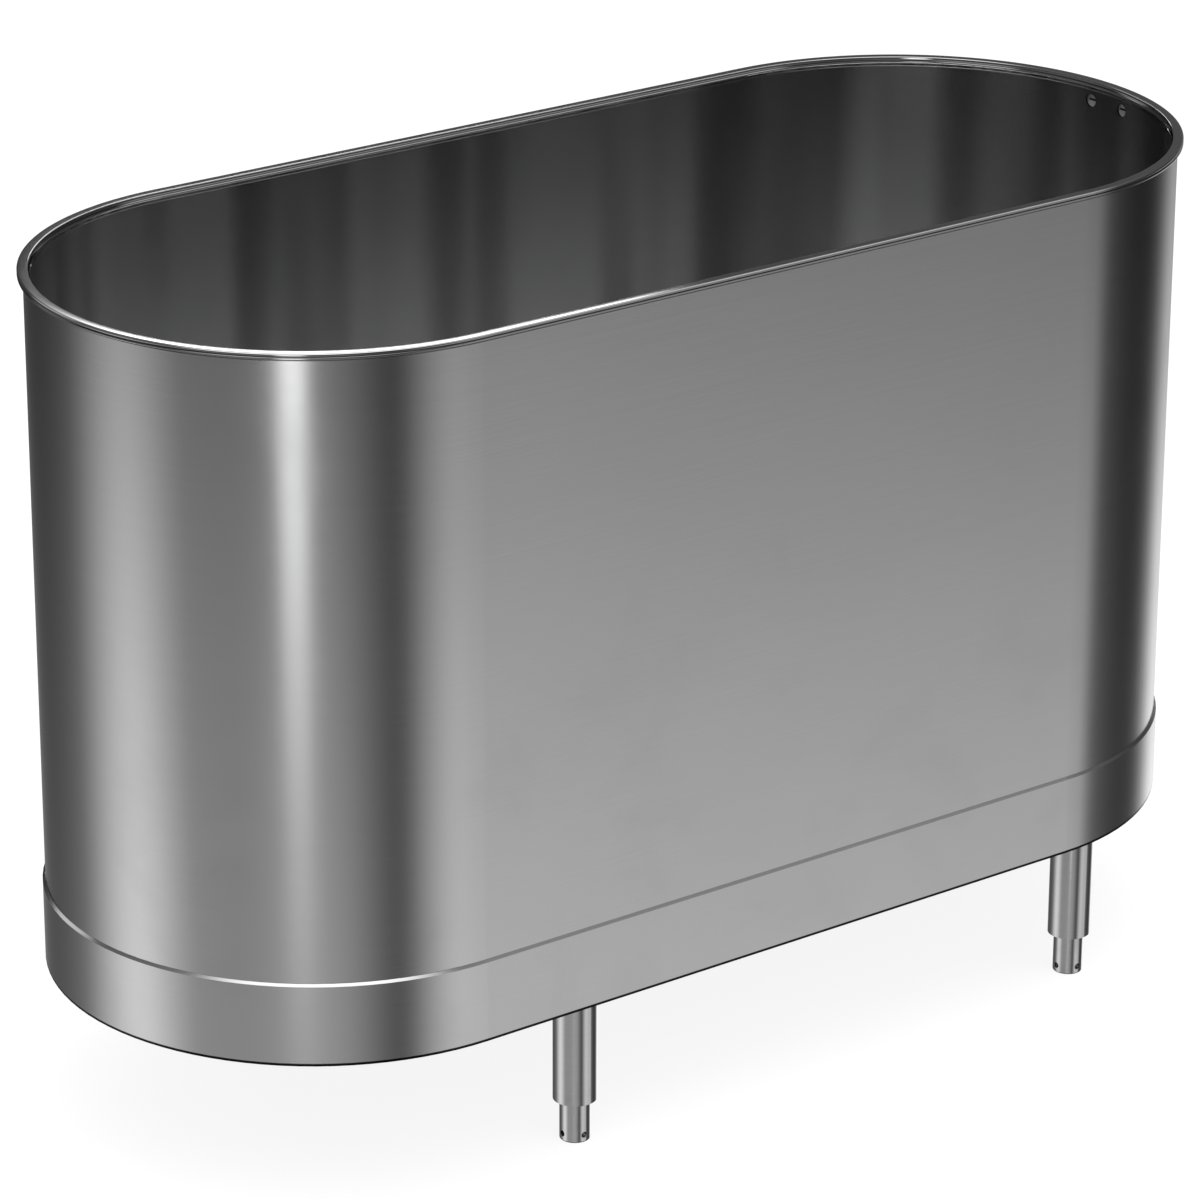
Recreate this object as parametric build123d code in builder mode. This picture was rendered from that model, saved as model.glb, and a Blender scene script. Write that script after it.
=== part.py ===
from build123d import *
import os

# Open-topped oblong stainless tank on four screw-adjustable legs.
# The origin is on the floor under the middle of the tank. X runs along the tank, +Z is up,
# and the +X end is the service end with the two wall ports and the outlet valve.

# --- Driving sizes, in millimetres ---------------------------------------------------------

# Tank body
wall_radius = 300.0          # outside of the wall round both ends
straight_length = 806.0      # straight run between the round ends
body_height = 781.0          # bottom edge of the base band to the top of the rim
ground_clearance = 170.0     # floor to the bottom edge of the base band
sheet = 2.0                  # wall, floor pan and bottom plate

# Rim: a rounded flat bar ring on top of the wall, with a narrow bead under its inner edge
rim_overhang = 6.0           # beyond the outside of the wall
rim_width = 12.0
rim_height = 7.0
rim_outer_round = 2.0
rim_inner_round = 1.2
rim_step_depth = 3.0         # upright part of the inner edge
rim_slope_depth = 2.5
rim_slope_width = 1.6
bead_height = 4.0
bead_round = 1.4

# Base band round the foot of the wall
band_height = 94.0
band_thickness = 3.0
band_top_bevel = 2.6
band_bottom_round = 2.0

# Floor pan, cooling plate and insulated base
floor_height = 60.0          # bottom edge of the band to the top of the tank floor
pan_corner = 20.0            # inside radius between floor and lip
pan_lip = 30.0               # height of the lip above the floor
cooling_plate_margin = 30.0  # plate edge to the outside of the wall
cooling_plate_thickness = 3.0
plate_recess = 2.0           # bottom plate above the bottom edge of the band
foam_margin = 24.0
foam_gap = 0.5

# Cross beams over the legs, open side down
beam_width = 90.0
beam_height = 36.0
beam_thickness = 3.0
beam_overhang = 15.0         # beam past the leg axis

# Legs and feet
left_leg_setback = 142.0     # left legs, inboard of the end of the straight run
right_leg_reach = 44.0       # right legs, past the end of the straight run
leg_inset = 35.0             # outside of the long wall to the leg axis
leg_radius = 24.15
leg_wall = 2.0
foot_show = 48.0             # floor to the bottom end of the leg tube at the middle setting
socket_wall = 4.0
socket_depth = 45.0          # socket below the bottom edge of the band
socket_flange_width = 6.0    # flange past the outside of the leg tube
socket_flange_thickness = 4.0
insert_length = 75.0
insert_recess = 1.0
guide_length = 50.0          # wide lower bore of the insert that guides the foot
foot_radius = 16.85
foot_inside_leg = 22.0       # foot hidden in the leg at the middle setting
foot_round = 1.5
bar_hole_radius = 3.5
bar_hole_height = 9.0
bar_hole_depth = 10.0
stem_radius = 10.0
stem_in_foot = 20.0
stem_above_insert = 28.0
grub_radius = 4.0
grub_length = 6.0
grub_drop = 22.0             # grub screw below the bottom edge of the band

# Wall ports at the service end, closed by slotted plugs
port_radius = 7.5
port_spacing = 52.0
port_drop = 25.0             # port centre below the top of the rim
boss_radius = 13.0
boss_reach = 5.0             # boss beyond the wall at the middle of the end
plug_slot_width = 1.6
plug_slot_depth = 1.5

# Drain sump and outlet pipe
outlet_reach = 157.0         # sump centre past the end of the straight run
sump_radius = 55.0
sump_depth = 28.0
pipe_radius = 19.0
pipe_wall = 1.5
elbow_radius = 57.0
outlet_drop = 64.0           # bottom edge of the band to the axis of the outlet
pipe_tail = 5.0              # straight run after the elbow

# Butterfly valve and blank cap
flange_radius = 39.0
half_thickness = 12.0
seat_radius = 26.0
seat_half_width = 6.0
bolt_circle_radius = 32.0
bolt_radius = 3.0
bolt_head_radius = 5.5
bolt_head_height = 4.0
disc_gap = 0.3               # between the disc's edge and the bore
disc_thickness = 4.0
spindle_radius = 4.0
spindle_top = 22.0           # spindle above the outlet axis
lever_gap = 3.0
lever_hub_radius = 11.0
lever_hub_height = 10.0
lever_length = 110.0
lever_tip_radius = 9.0
lever_thickness = 4.0
lever_screw_radius = 2.5
lever_screw_length = 9.0
lever_head_radius = 7.0
lever_head_height = 3.5
neck_radius = 23.0
neck_length = 6.0
thread_radius = 29.0
thread_length = 16.0
cap_across_corners = 37.0
cap_skirt = 14.0             # cap over the thread
cap_end = 8.0
gasket_radius = 28.0
gasket_thickness = 2.0

# Refrigerant line stubs of the cooling plate
line_reach = 117.0           # lines past the end of the straight run
suction_y = 160.0
liquid_y = 110.0
suction_radius = 8.0
liquid_radius = 5.0
line_wall = 1.0
line_drop = 40.0             # stub below the bottom edge of the band
line_cap_length = 16.0
line_cap_wall = 3.0
grommet_lip = 3.0
grommet_thickness = 2.0
grommet_body = 4.0           # rubber between the line and the bottom plate

# Fits
running_fit = 0.05           # radial clearance of parts that slide or turn in each other
bolt_clearance = 0.1

# --- Levels worked out from the driving sizes ----------------------------------------------

half_straight = straight_length / 2
left_leg_x = -half_straight + left_leg_setback
right_leg_x = half_straight + right_leg_reach
leg_y = wall_radius - leg_inset
outlet_x = half_straight + outlet_reach
line_x = half_straight + line_reach
base_level = ground_clearance
rim_top = base_level + body_height
wall_top = rim_top - rim_height
band_top = base_level + band_height
floor_top = base_level + floor_height
pan_top = floor_top + pan_lip
wall_inside = wall_radius - sheet
plate_bottom = base_level + plate_recess
plate_top = plate_bottom + sheet
cooling_plate_bottom = floor_top - sheet - cooling_plate_thickness
beam_top = plate_top + beam_height
leg_bore = leg_radius - leg_wall
socket_radius = leg_bore - running_fit
insert_bottom = foot_show + insert_recess
insert_top = insert_bottom + insert_length
foot_top = foot_show + foot_inside_leg
port_level = rim_top - port_drop
end_face = half_straight + wall_radius
pipe_bore = pipe_radius - pipe_wall
sump_bottom = floor_top - sump_depth - sheet
outlet_level = base_level - outlet_drop
valve_start = outlet_x + elbow_radius + pipe_tail
valve_centre = valve_start + half_thickness
valve_end = valve_centre + half_thickness
spout_end = valve_end + neck_length + thread_length
lever_top = outlet_level - flange_radius - lever_gap
lever_bottom = lever_top - lever_hub_height
line_end = base_level - line_drop

leg_spots = {
    "front_left": (left_leg_x, -leg_y),
    "front_right": (right_leg_x, -leg_y),
    "rear_left": (left_leg_x, leg_y),
    "rear_right": (right_leg_x, leg_y),
}

os.makedirs("parts", exist_ok=True)


def save(part, name):
    """Label a finished piece and write its STEP file."""
    part.label = name
    export_step(part, f"parts/{name}.step")


def disc(centre, radius, bore=0.0, facing=(0, 0, 1)):
    """Round outline, or a washer with a bore, at a point and facing along an axis."""
    with BuildSketch(Plane(origin=centre, z_dir=facing)) as outline:
        Circle(radius)
        if bore > 0:
            Circle(bore, mode=Mode.SUBTRACT)
    return outline.sketch


def oblong(radius, level, inner=0.0):
    """Outline of the tank at one radius and height, solid or as a ring."""
    with BuildSketch(Plane.XY.offset(level)) as outline:
        SlotCenterToCenter(straight_length, 2 * radius)
        if inner > 0:
            SlotCenterToCenter(straight_length, 2 * inner, mode=Mode.SUBTRACT)
    return outline.sketch


def oblong_path(radius, level):
    """Closed line round the tank, starting at the left end of the front."""
    with BuildLine(Plane.XY.offset(level)) as path:
        Line((-half_straight, -radius), (half_straight, -radius))
        CenterArc((half_straight, 0), radius, -90, 180)
        Line((half_straight, radius), (-half_straight, radius))
        CenterArc((-half_straight, 0), radius, 90, 180)
    return path.wire()


def section_plane():
    """Upright plane across the front wall: local x is the radius, local y the height."""
    return Plane(origin=(-half_straight, 0, 0), x_dir=(0, -1, 0), z_dir=(-1, 0, 0))


# --- Wall: two flat sheets and two rolled ends, butt-welded and ground flush ----------------

def flat_wall(side):
    """Long wall sheet on the front (side -1) or the rear (side 1)."""
    with BuildPart() as wall:
        with BuildSketch(Plane.XY.offset(pan_top)):
            with Locations((0, side * (wall_radius - sheet / 2))):
                Rectangle(straight_length, sheet)
        extrude(amount=wall_top - pan_top)
    return wall.part


def end_wall(side, ports=False):
    """Rolled half-round end on the left (side -1) or the right (side 1)."""
    with BuildPart() as wall:
        centre = (side * half_straight, 0, pan_top)
        extrude(disc(centre, wall_radius, wall_inside), amount=wall_top - pan_top)
        with Locations(centre):
            keep_out = Align.MAX if side > 0 else Align.MIN
            Box(
                2 * wall_radius,
                2 * wall_radius + sheet,
                wall_top - pan_top,
                align=(keep_out, Align.CENTER, Align.MIN),
                mode=Mode.SUBTRACT,
            )
        if ports:
            for y in (-port_spacing / 2, port_spacing / 2):
                start = (end_face - wall_radius / 4, y, port_level)
                extrude(disc(start, port_radius, facing=(1, 0, 0)), amount=wall_radius, mode=Mode.SUBTRACT)
    return wall.part


save(flat_wall(-1), "front_wall")
save(flat_wall(1), "rear_wall")
save(end_wall(-1), "left_end_wall")
save(end_wall(1, ports=True), "right_end_wall")


# --- Rim ring: bent flat bar with rounded edges, and a step and slope on its inner side -----

rim_outside = wall_radius + rim_overhang
rim_inside = rim_outside - rim_width
slope_foot = rim_inside - rim_slope_width

with BuildPart() as rim_ring:
    with BuildSketch(section_plane()) as rim_section:
        with BuildLine():
            Polyline(
                (rim_outside, rim_top),
                (rim_outside, wall_top),
                (slope_foot, wall_top),
                (slope_foot, rim_top - rim_step_depth - rim_slope_depth),
                (rim_inside, rim_top - rim_step_depth),
                (rim_inside, rim_top),
                close=True,
            )
        make_face()
        fillet(rim_section.vertices().group_by(Axis.X)[-1], rim_outer_round)
        inner_corner = rim_section.vertices().group_by(Axis.Y)[-1].sort_by(Axis.X)[0]
        fillet(inner_corner, rim_inner_round)
    sweep(path=oblong_path(wall_radius, rim_top))
save(rim_ring.part, "rim_ring")


# --- Inner bead: narrow rounded bar welded under the rim, inside the wall -------------------

with BuildPart() as rim_bead:
    extrude(oblong(wall_inside, wall_top, slope_foot), amount=-bead_height)
    inner_edges = rim_bead.faces().filter_by(Axis.Z).sort_by(Axis.Z)[0].inner_wires()[0].edges()
    fillet(inner_edges, bead_round)
save(rim_bead.part, "rim_bead")


# --- Base band: strip wrapped round the foot of the wall ------------------------------------

band_outside = wall_radius + band_thickness

with BuildPart() as base_band:
    extrude(oblong(band_outside, base_level, wall_radius), amount=band_height)
    level_faces = base_band.faces().filter_by(Axis.Z).sort_by(Axis.Z)
    chamfer(level_faces[-1].outer_wire().edges(), band_top_bevel)
    fillet(level_faces[0].outer_wire().edges(), band_bottom_round)
save(base_band.part, "base_band")


# --- Floor pan: pressed tray with a coved lip that is butt-welded to the wall ---------------

with BuildPart() as floor_pan:
    extrude(oblong(wall_radius, floor_top - sheet), amount=sheet + pan_lip)
    outer_edge = floor_pan.faces().sort_by(Axis.Z)[0].outer_wire().edges()
    fillet(outer_edge, pan_corner + sheet)
    offset(amount=-sheet, openings=floor_pan.faces().sort_by(Axis.Z)[-1])
    mouth = disc((outlet_x, 0, base_level), sump_radius)
    extrude(mouth, amount=floor_height + pan_lip, mode=Mode.SUBTRACT)
save(floor_pan.part, "floor_pan")


# --- Drain sump: shallow spun cone welded into the floor ------------------------------------

with BuildPart() as drain_sump:
    with BuildSketch(Plane.XZ):
        with BuildLine():
            Polyline(
                (outlet_x + sump_radius, floor_top),
                (outlet_x + pipe_bore, floor_top - sump_depth),
                (outlet_x + pipe_bore, sump_bottom),
                (outlet_x + pipe_radius, sump_bottom),
                (outlet_x + sump_radius, floor_top - sheet),
                close=True,
            )
        make_face()
    revolve(axis=Axis((outlet_x, 0, 0), (0, 0, 1)))
save(drain_sump.part, "drain_sump")


# --- Cooling plate under the floor, with its two line stubs ---------------------------------

sump_clearance = sump_radius + foam_gap

with BuildPart() as cooling_plate:
    extrude(oblong(wall_radius - cooling_plate_margin, cooling_plate_bottom), amount=cooling_plate_thickness)
    cut = disc((outlet_x, 0, cooling_plate_bottom), sump_clearance)
    extrude(cut, amount=cooling_plate_thickness, mode=Mode.SUBTRACT)
save(cooling_plate.part, "cooling_plate")


def line_stub(y, radius):
    """Refrigerant line from the cooling plate down through the bottom plate."""
    with BuildPart() as stub:
        ring = disc((line_x, y, line_end), radius, radius - line_wall)
        extrude(ring, amount=cooling_plate_bottom - line_end)
    return stub.part


save(line_stub(suction_y, suction_radius), "suction_line")
save(line_stub(liquid_y, liquid_radius), "liquid_line")

with BuildPart() as line_caps:
    for y, radius in ((suction_y, suction_radius), (liquid_y, liquid_radius)):
        bottom = line_end - line_cap_wall
        with BuildSketch(Plane((line_x, y, bottom))):
            RegularPolygon(radius + line_cap_wall, 6)
        extrude(amount=line_cap_length)
        bore = disc((line_x, y, line_end), radius)
        extrude(bore, amount=line_cap_length, mode=Mode.SUBTRACT)
save(line_caps.part, "line_caps")

with BuildPart() as line_grommets:
    for y, radius in ((suction_y, suction_radius), (liquid_y, liquid_radius)):
        body = radius + grommet_body
        lip = body + grommet_lip
        lip_bottom = plate_bottom - grommet_thickness
        extrude(disc((line_x, y, lip_bottom), lip, radius), amount=grommet_thickness)
        extrude(disc((line_x, y, plate_bottom), body, radius), amount=sheet)
        extrude(disc((line_x, y, plate_top), lip, radius), amount=grommet_thickness)
save(line_grommets.part, "line_grommets")


# --- Bottom plate that closes the base ------------------------------------------------------

with BuildPart() as bottom_plate:
    extrude(oblong(wall_radius, plate_bottom), amount=sheet)
    for x, y in leg_spots.values():
        extrude(disc((x, y, plate_bottom), socket_radius), amount=sheet, mode=Mode.SUBTRACT)
    extrude(disc((outlet_x, 0, plate_bottom), pipe_radius), amount=sheet, mode=Mode.SUBTRACT)
    for y, radius in ((suction_y, suction_radius), (liquid_y, liquid_radius)):
        hole = disc((line_x, y, plate_bottom), radius + grommet_body)
        extrude(hole, amount=sheet, mode=Mode.SUBTRACT)
save(bottom_plate.part, "bottom_plate")


# --- Cross beams: inverted channels from leg to leg -----------------------------------------

def cross_beam(x):
    """Channel over one pair of legs, open side down on the bottom plate."""
    with BuildPart() as beam:
        with Locations((x, 0, plate_top)):
            beam_length = 2 * (leg_y + beam_overhang)
            Box(beam_width, beam_length, beam_height, align=(Align.CENTER, Align.CENTER, Align.MIN))
            Box(
                beam_width - 2 * beam_thickness,
                beam_length,
                beam_height - beam_thickness,
                align=(Align.CENTER, Align.CENTER, Align.MIN),
                mode=Mode.SUBTRACT,
            )
    return beam.part


save(cross_beam(left_leg_x), "left_cross_beam")
save(cross_beam(right_leg_x), "right_cross_beam")


# --- Insulation: foam between the bottom plate and the cooling plate ------------------------

with BuildPart() as floor_insulation:
    foam_height = cooling_plate_bottom - plate_top
    extrude(oblong(wall_radius - foam_margin, plate_top), amount=foam_height)
    for x in (left_leg_x, right_leg_x):
        with Locations((x, 0, plate_top)):
            Box(
                beam_width + 2 * foam_gap,
                2 * wall_radius,
                beam_height + foam_gap,
                align=(Align.CENTER, Align.CENTER, Align.MIN),
                mode=Mode.SUBTRACT,
            )
    extrude(disc((outlet_x, 0, plate_top), sump_clearance), amount=foam_height, mode=Mode.SUBTRACT)
    for y, radius in ((suction_y, suction_radius), (liquid_y, liquid_radius)):
        hole = disc((line_x, y, plate_top), radius + grommet_body + grommet_lip + foam_gap)
        extrude(hole, amount=foam_height, mode=Mode.SUBTRACT)
save(floor_insulation.part, "floor_insulation")


# --- Legs: welded socket, tube, threaded insert, and a foot on a screw stem -----------------

def grub_hole(x, y):
    """Cutter for one grub screw, on the side of the leg that faces the middle of the tank."""
    inward = -1 if y > 0 else 1
    start = (x, y + inward * (leg_bore - socket_wall - sheet), base_level - grub_drop)
    return disc(start, grub_radius + running_fit, facing=(0, inward, 0))


def leg_socket(x, y):
    """Round boss with a flange, up to the web of the cross beam and down into the leg tube."""
    with BuildPart() as socket:
        bottom = base_level - socket_depth
        bore = socket_radius - socket_wall
        extrude(disc((x, y, bottom), socket_radius, bore), amount=beam_top - beam_thickness - bottom)
        flange = disc((x, y, plate_top), leg_radius + socket_flange_width, bore)
        extrude(flange, amount=socket_flange_thickness)
        extrude(grub_hole(x, y), amount=leg_radius, mode=Mode.SUBTRACT)
    return socket.part


def leg_tube(x, y):
    """Plain round tube pushed over the socket."""
    with BuildPart() as tube:
        extrude(disc((x, y, foot_show), leg_radius, leg_bore), amount=plate_bottom - foot_show)
        extrude(grub_hole(x, y), amount=leg_radius, mode=Mode.SUBTRACT)
    return tube.part


def leg_insert(x, y):
    """Turned nut inside the bottom of the tube, with a wide guide bore below its thread."""
    with BuildPart() as insert:
        ring = disc((x, y, insert_bottom), leg_bore - running_fit, stem_radius + running_fit)
        extrude(ring, amount=insert_length)
        guide = disc((x, y, insert_bottom), foot_radius + running_fit)
        extrude(guide, amount=guide_length, mode=Mode.SUBTRACT)
    return insert.part


def foot(x, y):
    """Turned foot with four tommy-bar holes near its lower end."""
    with BuildPart() as body:
        extrude(disc((x, y, 0), foot_radius), amount=foot_top)
        fillet(body.faces().sort_by(Axis.Z)[0].edges(), foot_round)
        for along in ((1, 0, 0), (-1, 0, 0), (0, 1, 0), (0, -1, 0)):
            reach = foot_radius - bar_hole_depth
            start = (x + along[0] * reach, y + along[1] * reach, bar_hole_height)
            hole = disc(start, bar_hole_radius, facing=along)
            extrude(hole, amount=bar_hole_depth + foot_round, mode=Mode.SUBTRACT)
        socket = disc((x, y, foot_top - stem_in_foot), stem_radius)
        extrude(socket, amount=stem_in_foot, mode=Mode.SUBTRACT)
    return body.part


def foot_stem(x, y):
    """Screw stem fixed in the foot and running in the insert."""
    with BuildPart() as stem:
        bottom = foot_top - stem_in_foot
        extrude(disc((x, y, bottom), stem_radius), amount=insert_top + stem_above_insert - bottom)
        chamfer(stem.faces().sort_by(Axis.Z)[-1].edges(), foot_round)
    return stem.part


for place, (x, y) in leg_spots.items():
    save(leg_socket(x, y), f"{place}_leg_socket")
    save(leg_tube(x, y), f"{place}_leg_tube")
    save(leg_insert(x, y), f"{place}_leg_insert")
    save(foot(x, y), f"{place}_foot")
    save(foot_stem(x, y), f"{place}_foot_stem")

with BuildPart() as leg_grub_screws:
    for x, y in leg_spots.values():
        inward = -1 if y > 0 else 1
        start = (x, y + inward * (leg_radius - grub_length), base_level - grub_drop)
        extrude(disc(start, grub_radius, facing=(0, inward, 0)), amount=grub_length - running_fit)
save(leg_grub_screws.part, "leg_grub_screws")


# --- Ports: two short bosses outside the end wall, closed by slotted plugs ------------------

with BuildPart() as port_bosses:
    for y in (-port_spacing / 2, port_spacing / 2):
        start = (half_straight, y, port_level)
        extrude(disc(start, boss_radius, port_radius, facing=(1, 0, 0)), amount=wall_radius + boss_reach)
    extrude(oblong(wall_radius, port_level - boss_radius), amount=2 * boss_radius, mode=Mode.SUBTRACT)
save(port_bosses.part, "port_bosses")

with BuildPart() as port_plugs:
    plug_face = half_straight + (wall_radius**2 - (port_spacing / 2) ** 2) ** 0.5
    for y in (-port_spacing / 2, port_spacing / 2):
        start = (plug_face, y, port_level)
        plug_length = end_face + boss_reach - plug_face
        extrude(disc(start, port_radius - running_fit, facing=(1, 0, 0)), amount=plug_length)
        with Locations(start):
            Box(2 * plug_slot_depth, 2 * port_radius, plug_slot_width, mode=Mode.SUBTRACT)
save(port_plugs.part, "port_plugs")


# --- Outlet pipe: from the sump down through the bottom plate and round to the service end --

with BuildPart() as outlet_pipe:
    with BuildLine() as outlet_route:
        elbow_top = outlet_level + elbow_radius
        Line((outlet_x, 0, sump_bottom), (outlet_x, 0, elbow_top))
        TangentArc((outlet_x, 0, elbow_top), (outlet_x + elbow_radius, 0, outlet_level), tangent=(0, 0, -1))
        Line((outlet_x + elbow_radius, 0, outlet_level), (valve_start, 0, outlet_level))
    sweep(disc((outlet_x, 0, sump_bottom), pipe_radius, pipe_bore), path=outlet_route.wire())
save(outlet_pipe.part, "outlet_pipe")


# --- Butterfly valve: two flanged halves clamped on a seat ring, with a quarter-turn disc ---

def on_outlet(x, radius, bore=0.0):
    """Round outline on the outlet's axis, facing the service end."""
    return disc((x, 0, outlet_level), radius, bore, facing=(1, 0, 0))


def bolt_spots():
    """The four clamp bolts, half way between the spindle and the horizontal."""
    return [loc.position for loc in PolarLocations(bolt_circle_radius, 4, start_angle=45)]


def cut_valve_holes(start):
    """Cut the bolt holes and the spindle hole through one flanged half."""
    for spot in bolt_spots():
        centre = (start, spot.X, outlet_level + spot.Y)
        hole = disc(centre, bolt_radius + bolt_clearance, facing=(1, 0, 0))
        extrude(hole, amount=half_thickness, mode=Mode.SUBTRACT)
    spindle = disc((valve_centre, 0, outlet_level), spindle_radius + running_fit, facing=(0, 0, -1))
    extrude(spindle, amount=2 * flange_radius, mode=Mode.SUBTRACT)


with BuildPart() as valve_inlet_half:
    extrude(on_outlet(valve_start, flange_radius, pipe_bore), amount=half_thickness)
    extrude(on_outlet(valve_centre, seat_radius), amount=-seat_half_width, mode=Mode.SUBTRACT)
    cut_valve_holes(valve_start)
save(valve_inlet_half.part, "valve_inlet_half")

with BuildPart() as valve_outlet_half:
    extrude(on_outlet(valve_centre, flange_radius, pipe_bore), amount=half_thickness)
    extrude(on_outlet(valve_end, neck_radius, pipe_bore), amount=neck_length)
    extrude(on_outlet(valve_end + neck_length, thread_radius, pipe_bore), amount=thread_length)
    extrude(on_outlet(valve_centre, seat_radius), amount=seat_half_width, mode=Mode.SUBTRACT)
    cut_valve_holes(valve_centre)
save(valve_outlet_half.part, "valve_outlet_half")

with BuildPart() as valve_seat:
    ring = on_outlet(valve_centre - seat_half_width, seat_radius, pipe_bore)
    extrude(ring, amount=2 * seat_half_width)
    spindle = disc((valve_centre, 0, outlet_level - seat_radius), spindle_radius + running_fit)
    extrude(spindle, amount=2 * seat_radius, mode=Mode.SUBTRACT)
save(valve_seat.part, "valve_seat")

with BuildPart() as valve_disc:
    extrude(on_outlet(valve_centre - disc_thickness / 2, pipe_bore - disc_gap), amount=disc_thickness)
    fillet(valve_disc.edges().filter_by(GeomType.CIRCLE), disc_thickness / 4)
    spindle = disc((valve_centre, 0, lever_bottom), spindle_radius)
    extrude(spindle, amount=outlet_level + spindle_top - lever_bottom)
    tapping = disc((valve_centre, 0, lever_bottom), lever_screw_radius + running_fit)
    extrude(tapping, amount=lever_screw_length, mode=Mode.SUBTRACT)
save(valve_disc.part, "valve_disc")

with BuildPart() as valve_bolts:
    for spot in bolt_spots():
        centre_y = spot.X
        centre_z = outlet_level + spot.Y
        head_start = valve_start - bolt_head_height
        for start in (head_start, valve_end):
            with BuildSketch(Plane(origin=(start, centre_y, centre_z), z_dir=(1, 0, 0))):
                RegularPolygon(bolt_head_radius, 6)
            extrude(amount=bolt_head_height)
        shank = disc((head_start, centre_y, centre_z), bolt_radius, facing=(1, 0, 0))
        extrude(shank, amount=2 * half_thickness + 2 * bolt_head_height + bolt_clearance)
save(valve_bolts.part, "valve_bolts")

with BuildPart() as valve_lever:
    with BuildSketch(Plane((valve_centre, 0, lever_bottom))):
        Circle(lever_hub_radius)
        with Locations((0, lever_length - lever_tip_radius)):
            Circle(lever_tip_radius)
        make_hull()
    extrude(amount=lever_thickness)
    fillet(valve_lever.edges().group_by(Axis.Z)[-1], lever_thickness / 3)
    extrude(disc((valve_centre, 0, lever_bottom), lever_hub_radius), amount=lever_hub_height)
    hub_bore = disc((valve_centre, 0, lever_bottom), spindle_radius + running_fit)
    extrude(hub_bore, amount=lever_hub_height, mode=Mode.SUBTRACT)
save(valve_lever.part, "valve_lever")

with BuildPart() as lever_screw:
    head_bottom = lever_bottom - lever_head_height
    with BuildSketch(Plane((valve_centre, 0, head_bottom))):
        RegularPolygon(lever_head_radius, 6)
    extrude(amount=lever_head_height)
    shank = disc((valve_centre, 0, lever_bottom), lever_screw_radius)
    extrude(shank, amount=lever_screw_length - running_fit)
save(lever_screw.part, "lever_screw")


# --- Blank cap and its gasket on the outlet thread ------------------------------------------

with BuildPart() as outlet_cap:
    cap_start = spout_end - cap_skirt
    cap_inside = spout_end + gasket_thickness
    with BuildSketch(Plane(origin=(cap_start, 0, outlet_level), z_dir=(1, 0, 0))):
        RegularPolygon(cap_across_corners, 8)
    extrude(amount=cap_inside + cap_end - cap_start)
    thread = on_outlet(cap_start, thread_radius + running_fit)
    extrude(thread, amount=cap_inside - cap_start, mode=Mode.SUBTRACT)
save(outlet_cap.part, "outlet_cap")

with BuildPart() as cap_gasket:
    extrude(on_outlet(spout_end, gasket_radius, pipe_bore), amount=gasket_thickness)
save(cap_gasket.part, "cap_gasket")
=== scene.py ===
import math

import bmesh
import bpy
from mathutils import Matrix, Vector


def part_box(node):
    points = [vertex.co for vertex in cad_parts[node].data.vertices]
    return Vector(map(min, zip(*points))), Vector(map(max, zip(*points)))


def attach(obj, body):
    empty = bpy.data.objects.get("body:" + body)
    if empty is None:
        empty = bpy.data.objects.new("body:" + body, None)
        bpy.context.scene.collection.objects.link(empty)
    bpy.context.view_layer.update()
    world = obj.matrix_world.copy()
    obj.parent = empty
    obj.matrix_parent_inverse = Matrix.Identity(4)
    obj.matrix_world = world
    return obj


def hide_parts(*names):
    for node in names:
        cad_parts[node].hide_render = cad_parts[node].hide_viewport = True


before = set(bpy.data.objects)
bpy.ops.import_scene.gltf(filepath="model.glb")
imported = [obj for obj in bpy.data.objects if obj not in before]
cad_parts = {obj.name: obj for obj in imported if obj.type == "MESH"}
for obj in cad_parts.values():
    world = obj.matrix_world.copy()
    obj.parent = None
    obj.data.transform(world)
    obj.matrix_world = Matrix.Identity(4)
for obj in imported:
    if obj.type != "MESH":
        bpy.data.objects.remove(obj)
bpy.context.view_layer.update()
scene = bpy.context.scene


# --- Floor ----------------------------------------------------------------------------------
# A plain painted studio floor, wide enough to fill the view and faintly lit from below. It is
# left out of mirror-like reflections, so that the steel shows the light banks round it.

def add(tree, kind, sources=None, **settings):
    """New node in a tree: settings are its properties, sources its inputs by name or number."""
    node = tree.nodes.new(kind)
    for name, value in settings.items():
        setattr(node, name, value)
    for name, value in (sources or {}).items():
        if isinstance(value, bpy.types.NodeSocket):
            tree.links.new(value, node.inputs[name])
        else:
            node.inputs[name].default_value = value
    return node


def object_place(tree):
    return tree.nodes.new("ShaderNodeTexCoord").outputs["Object"]


def new_finish(name):
    """New material, with its node tree and its shader."""
    made = bpy.data.materials.new(name)
    made.use_nodes = True
    return made, made.node_tree, made.node_tree.nodes["Principled BSDF"]


def floor_paint():
    """Matt white paint with a hardly visible roller texture, clear when seen from below."""
    paint, tree, shader = new_finish("floor_paint")
    mottle = add(tree, "ShaderNodeTexNoise", {"Vector": object_place(tree), "Scale": 3.0})
    limits = {"Value": mottle.outputs["Fac"], "To Min": 0.115, "To Max": 0.125}
    tone = add(tree, "ShaderNodeMapRange", limits)
    tree.links.new(tone.outputs["Result"], shader.inputs["Base Color"])
    shader.inputs["Roughness"].default_value = 0.9
    shader.inputs["Specular IOR Level"].default_value = 0.1
    shader.inputs["Emission Color"].default_value = (1.0, 1.0, 1.0, 1.0)
    shader.inputs["Emission Strength"].default_value = 0.89
    from_below = tree.nodes.new("ShaderNodeNewGeometry").outputs["Backfacing"]
    clear = tree.nodes.new("ShaderNodeBsdfTransparent").outputs["BSDF"]
    either = add(tree, "ShaderNodeMixShader", {0: from_below, 1: shader.outputs["BSDF"], 2: clear})
    tree.links.new(either.outputs["Shader"], tree.nodes["Material Output"].inputs["Surface"])
    return paint


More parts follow.
